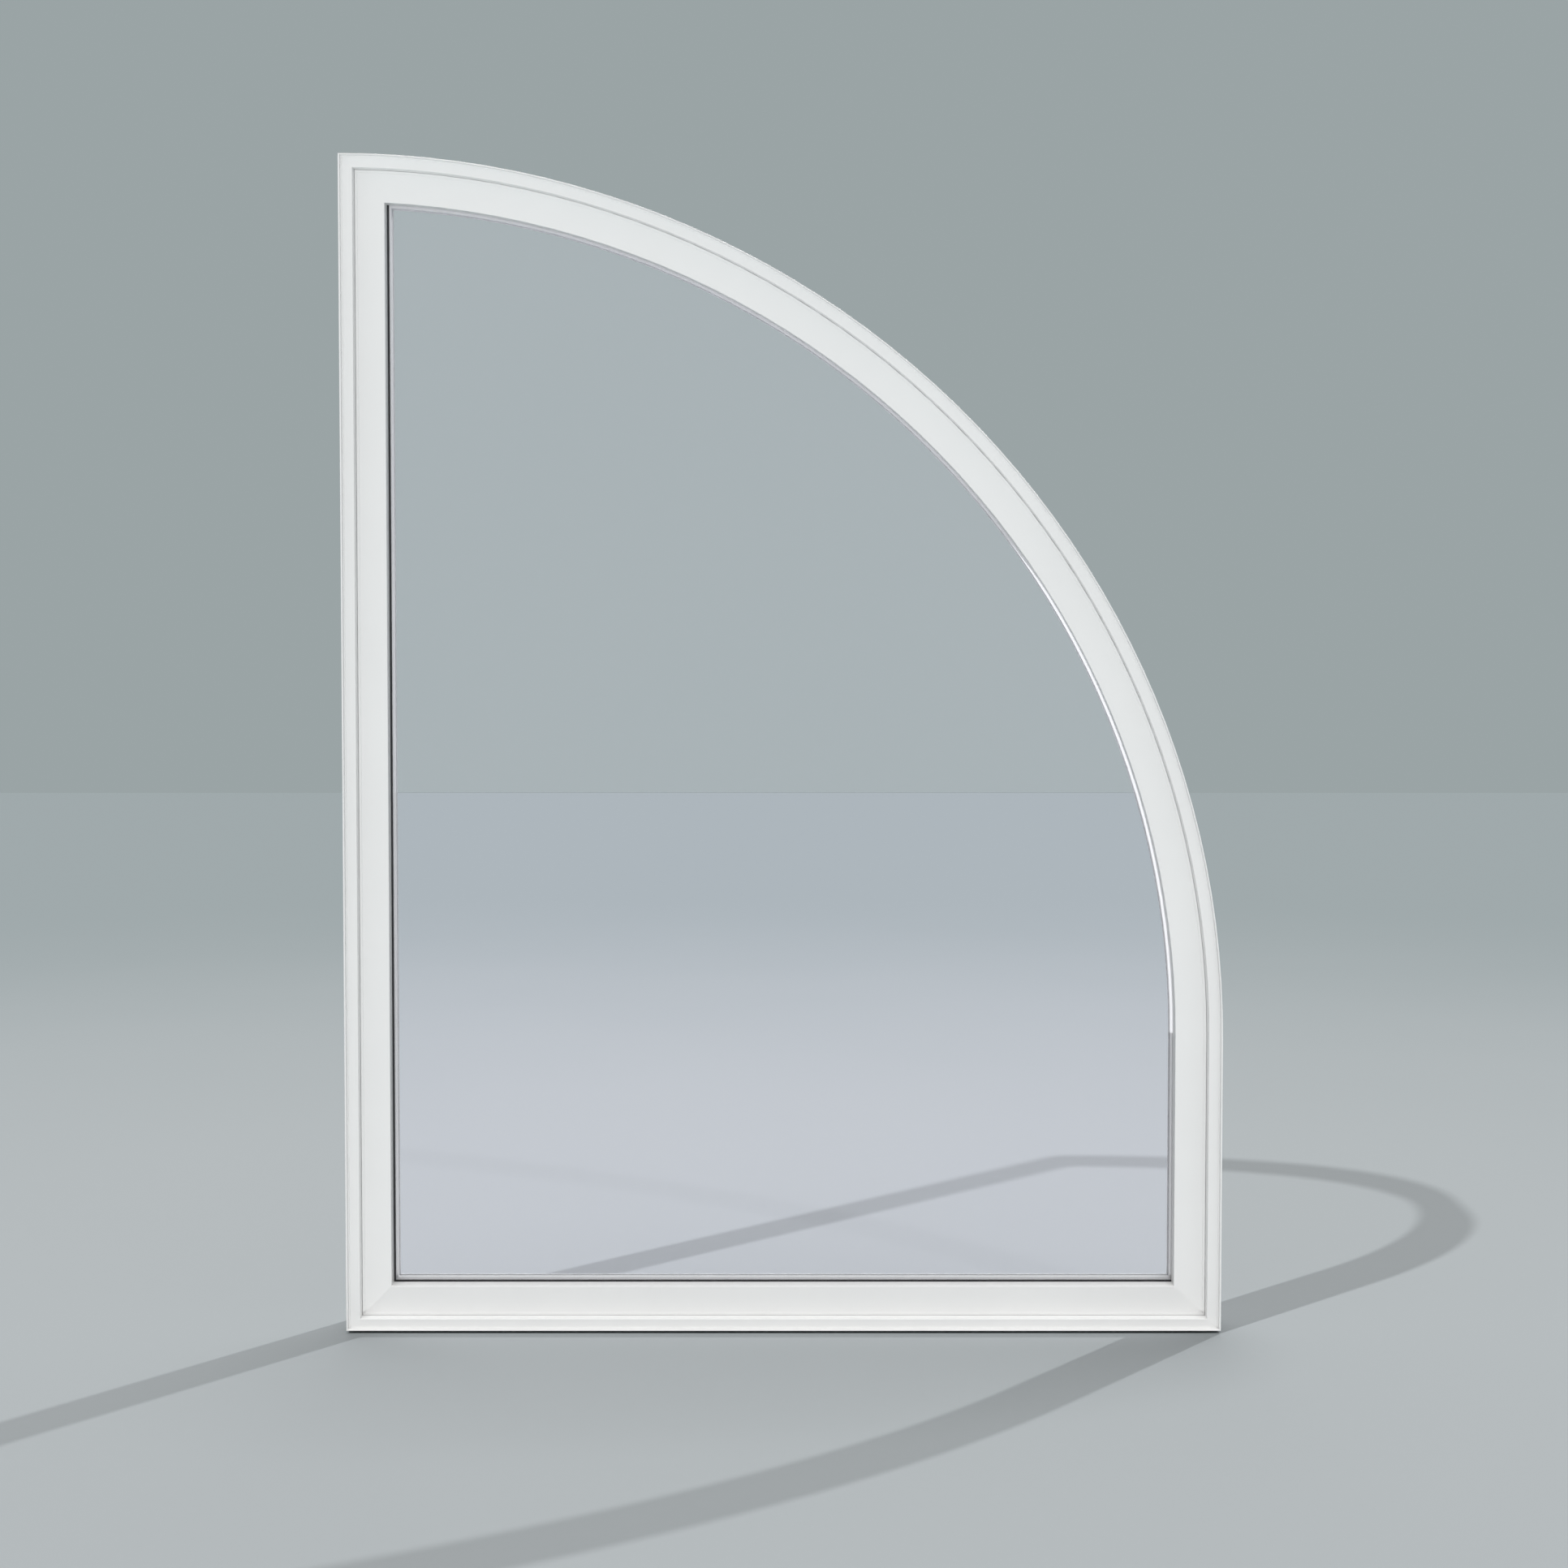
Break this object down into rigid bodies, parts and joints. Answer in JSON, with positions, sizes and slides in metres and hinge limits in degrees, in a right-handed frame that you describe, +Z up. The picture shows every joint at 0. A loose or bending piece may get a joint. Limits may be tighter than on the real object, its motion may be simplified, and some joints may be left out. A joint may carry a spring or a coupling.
{
  "type": "quarter round window",
  "caption": "Fixed quarter round window on a short straight leg: stepped white outer frame, fixed sash and sealed double glazing with glazing beads.",
  "frame": {"origin": "middle of the sill's underside, on the level that the window stands on", "axes": "+Z up, +X along the sill from the straight jamb to the short one, -Y to the outside"},
  "size_m": [0.9018, 0.0762, 1.2065],
  "materials": {
    "white_plastic": "satin white extruded plastic",
    "glazing_bead_plastic": "satin white extruded plastic",
    "black_gasket": "matt black rubber",
    "white_spacer": "matt white spacer bar",
    "clear_glass": "clear float glass"
  },
  "bodies": {
    "root": {"frame_left_jamb": "white_plastic", "frame_arch": "white_plastic", "frame_right_jamb": "white_plastic", "frame_sill": "white_plastic", "sash_left_stile": "white_plastic", "sash_arch_rail": "white_plastic", "sash_right_stile": "white_plastic", "sash_bottom_rail": "white_plastic", "outer_gasket_left": "black_gasket", "outer_gasket_arch": "black_gasket", "outer_gasket_right": "black_gasket", "outer_gasket_bottom": "black_gasket", "spacer_left": "white_spacer", "spacer_arch": "white_spacer", "spacer_right": "white_spacer", "spacer_bottom": "white_spacer", "inner_gasket_left": "black_gasket", "inner_gasket_arch": "black_gasket", "inner_gasket_right": "black_gasket", "inner_gasket_bottom": "black_gasket", "glazing_bead_left": "glazing_bead_plastic", "glazing_bead_arch": "glazing_bead_plastic", "glazing_bead_right": "glazing_bead_plastic", "glazing_bead_bottom": "glazing_bead_plastic", "outer_glass_pane": "clear_glass", "inner_glass_pane": "clear_glass"}
  },
  "joints": []
}
